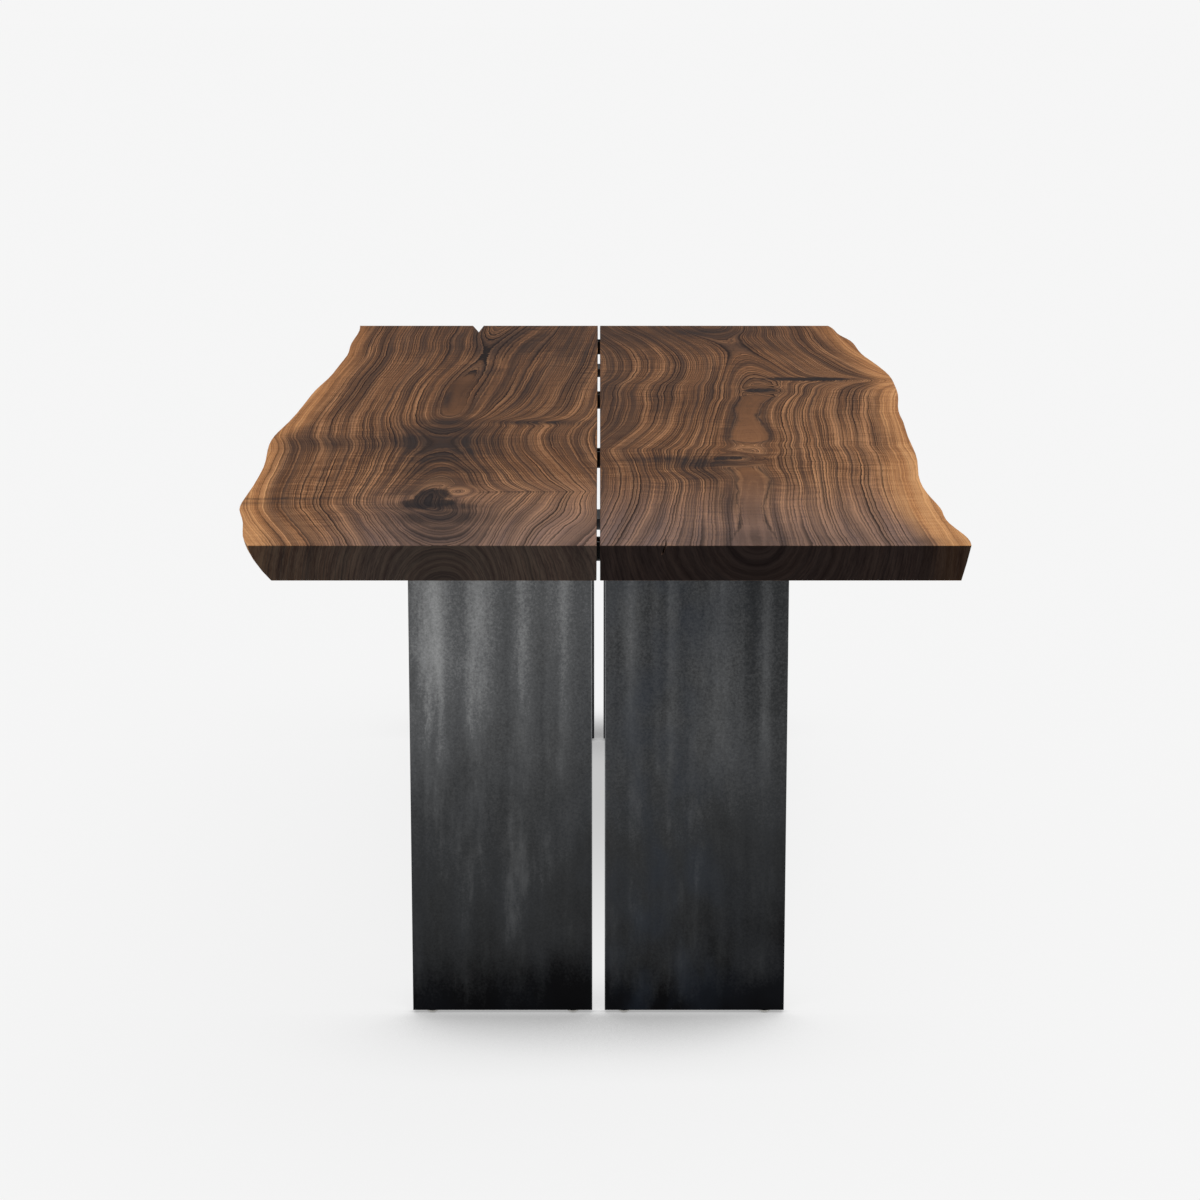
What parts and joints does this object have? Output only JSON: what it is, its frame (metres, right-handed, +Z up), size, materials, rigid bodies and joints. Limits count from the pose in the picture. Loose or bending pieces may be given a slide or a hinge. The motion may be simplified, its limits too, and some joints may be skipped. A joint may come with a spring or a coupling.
{
  "type": "live edge dining table",
  "caption": "Long dining table: walnut slabs with live outer edges and an open gap between them, on paired flat steel plate legs with screw-in levelling glides.",
  "frame": {"origin": "on the floor under the middle of the table top's outline", "axes": "+Z up, +Y along the table from the near end to the far end, +X to the right seen from the near end"},
  "size_m": [1.0295, 2.4, 0.765],
  "materials": {
    "walnut": "oiled, satin",
    "raw_steel": "blue-black mill scale, waxed",
    "black_steel": "black powder coat",
    "zinc": "zinc plated",
    "nickel": "nickel plated"
  },
  "bodies": {
    "table": {"left_slab": "walnut", "right_slab": "walnut", "near_end_channel": "black_steel", "near_middle_channel": "black_steel", "far_middle_channel": "black_steel", "far_end_channel": "black_steel", "near_head_plate": "raw_steel", "far_head_plate": "raw_steel", "near_left_leg_plate": "raw_steel", "near_right_leg_plate": "raw_steel", "far_left_leg_plate": "raw_steel", "far_right_leg_plate": "raw_steel", "leg_weld_seams": "raw_steel", "head_plate_bolts": "zinc", "head_plate_inserts": "zinc", "channel_bolts": "zinc", "channel_inserts": "zinc"},
    "near_left_inner_glide": {"near_left_inner_glide": "nickel"},
    "near_left_outer_glide": {"near_left_outer_glide": "nickel"},
    "near_right_inner_glide": {"near_right_inner_glide": "nickel"},
    "near_right_outer_glide": {"near_right_outer_glide": "nickel"},
    "far_left_inner_glide": {"far_left_inner_glide": "nickel"},
    "far_left_outer_glide": {"far_left_outer_glide": "nickel"},
    "far_right_inner_glide": {"far_right_inner_glide": "nickel"},
    "far_right_outer_glide": {"far_right_outer_glide": "nickel"}
  },
  "joints": [
    {"name": "near_left_inner_glide_screw", "type": "slide", "parent": "table", "child": "near_left_inner_glide", "axis": [0, 0, -1], "range_m": [0, 0.008]},
    {"name": "near_left_outer_glide_screw", "type": "slide", "parent": "table", "child": "near_left_outer_glide", "axis": [0, 0, -1], "range_m": [0, 0.008]},
    {"name": "near_right_inner_glide_screw", "type": "slide", "parent": "table", "child": "near_right_inner_glide", "axis": [0, 0, -1], "range_m": [0, 0.008]},
    {"name": "near_right_outer_glide_screw", "type": "slide", "parent": "table", "child": "near_right_outer_glide", "axis": [0, 0, -1], "range_m": [0, 0.008]},
    {"name": "far_left_inner_glide_screw", "type": "slide", "parent": "table", "child": "far_left_inner_glide", "axis": [0, 0, -1], "range_m": [0, 0.008]},
    {"name": "far_left_outer_glide_screw", "type": "slide", "parent": "table", "child": "far_left_outer_glide", "axis": [0, 0, -1], "range_m": [0, 0.008]},
    {"name": "far_right_inner_glide_screw", "type": "slide", "parent": "table", "child": "far_right_inner_glide", "axis": [0, 0, -1], "range_m": [0, 0.008]},
    {"name": "far_right_outer_glide_screw", "type": "slide", "parent": "table", "child": "far_right_outer_glide", "axis": [0, 0, -1], "range_m": [0, 0.008]}
  ]
}
